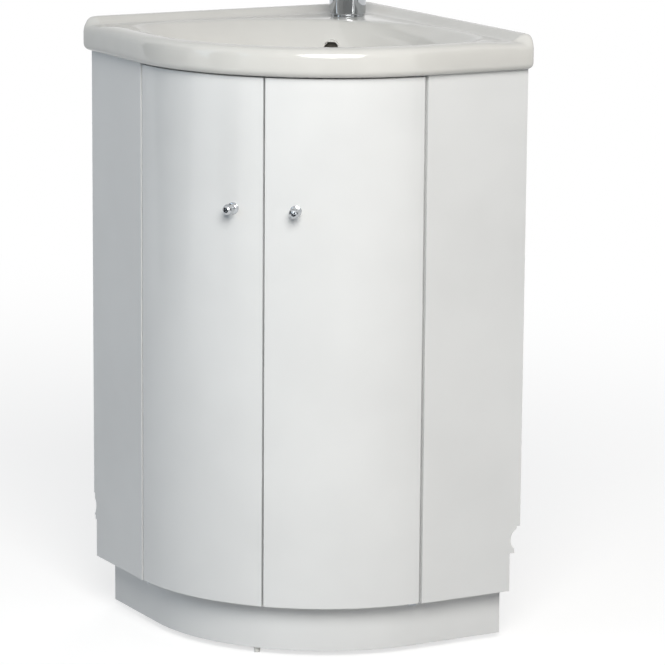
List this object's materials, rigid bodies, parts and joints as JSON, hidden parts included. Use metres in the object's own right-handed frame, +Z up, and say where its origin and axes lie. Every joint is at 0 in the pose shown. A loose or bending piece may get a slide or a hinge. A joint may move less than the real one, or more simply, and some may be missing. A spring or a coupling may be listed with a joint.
{
  "type": "corner vanity unit",
  "caption": "Quarter-round corner cabinet with curved hinged doors under a ceramic corner basin, with lever mixer tap, click waste and bottle trap.",
  "frame": {"origin": "centre of the bounding box's footprint, on the floor", "axes": "+Z up, +X along the left wall towards the room corner, +Y along the right wall towards the room corner; the room corner is at the largest X and Y, and the curved front faces -X -Y"},
  "size_m": [0.46, 0.46, 0.978],
  "materials": {
    "glazed_ceramic": "white vitreous glaze",
    "gloss_board": "white gloss lacquer on fibreboard",
    "carcass_board": "white melamine-faced chipboard",
    "beech": "plain beech",
    "white_plastic": "moulded white",
    "nylon": "natural nylon",
    "clear_buffer": "soft clear polymer",
    "black_plastic": "moulded black",
    "zinc_steel": "zinc plated",
    "chrome": "polished plating",
    "aerator_plastic": "moulded grey",
    "brass": "turned",
    "rubber": "black",
    "pipe_plastic": "white polypropylene"
  },
  "bodies": {
    "root": {"basin": "glazed_ceramic", "left_side_panel": "gloss_board", "right_side_panel": "gloss_board", "plinth": "gloss_board", "left_stile": "carcass_board", "right_stile": "carcass_board", "base_panel": "carcass_board", "front_rail": "carcass_board", "corner_post": "carcass_board", "upper_back_rails": "carcass_board", "lower_back_rails": "carcass_board", "shelf": "carcass_board", "carcass_dowels": "beech", "plinth_blocks": "beech", "plinth_glide": "white_plastic", "catch_magnets": "white_plastic", "leg_sockets": "black_plastic", "leg_feet": "black_plastic", "shelf_pins": "zinc_steel", "pivot_plates": "zinc_steel", "pivot_pins": "zinc_steel", "pivot_plate_screws": "zinc_steel", "tap_stud": "zinc_steel", "tap_base_ring": "chrome", "tap_body": "chrome", "waste_body": "chrome", "tap_aerator": "aerator_plastic", "tap_clamp_nut": "brass", "tap_clamp_washer": "rubber", "waste_seal": "rubber", "waste_back_nut": "pipe_plastic", "trap_cap_nut": "pipe_plastic", "trap_dip_tube": "pipe_plastic", "trap_bottle": "pipe_plastic", "trap_outlet_nut": "pipe_plastic", "outlet_pipe": "pipe_plastic"},
    "left_door_body": {"left_door": "gloss_board", "left_knob": "chrome", "left_knob_screw": "zinc_steel", "left_pivot_bushes": "nylon", "left_strike_plate": "zinc_steel", "left_buffers": "clear_buffer"},
    "right_door_body": {"right_door": "gloss_board", "right_knob": "chrome", "right_knob_screw": "zinc_steel", "right_pivot_bushes": "nylon", "right_strike_plate": "zinc_steel", "right_buffers": "clear_buffer"},
    "tap_spindle_body": {"tap_spindle": "brass", "tap_lever_pin": "zinc_steel"},
    "tap_lever_body": {"tap_lever": "chrome"},
    "waste_plug_body": {"waste_plug": "chrome"}
  },
  "joints": [
    {"name": "left_door_hinge", "type": "hinge", "parent": "root", "child": "left_door_body", "pos_m": [-0.207, 0.0605, 0.438], "axis": [0, 0, -1], "range_deg": [0, 95]},
    {"name": "right_door_hinge", "type": "hinge", "parent": "root", "child": "right_door_body", "pos_m": [0.0605, -0.207, 0.438], "axis": [0, 0, 1], "range_deg": [0, 95]},
    {"name": "tap_swivel", "type": "hinge", "parent": "root", "child": "tap_spindle_body", "pos_m": [0.151, 0.151, 0.936], "axis": [0, 0, 1], "range_deg": [-45, 45]},
    {"name": "tap_lever_lift", "type": "hinge", "parent": "tap_spindle_body", "child": "tap_lever_body", "pos_m": [0.151, 0.151, 0.936], "axis": [-0.7071, 0.7071, 0], "range_deg": [0, 22]},
    {"name": "waste_plug_lift", "type": "slide", "parent": "root", "child": "waste_plug_body", "axis": [0, 0, 1], "range_m": [0, 0.008]}
  ]
}
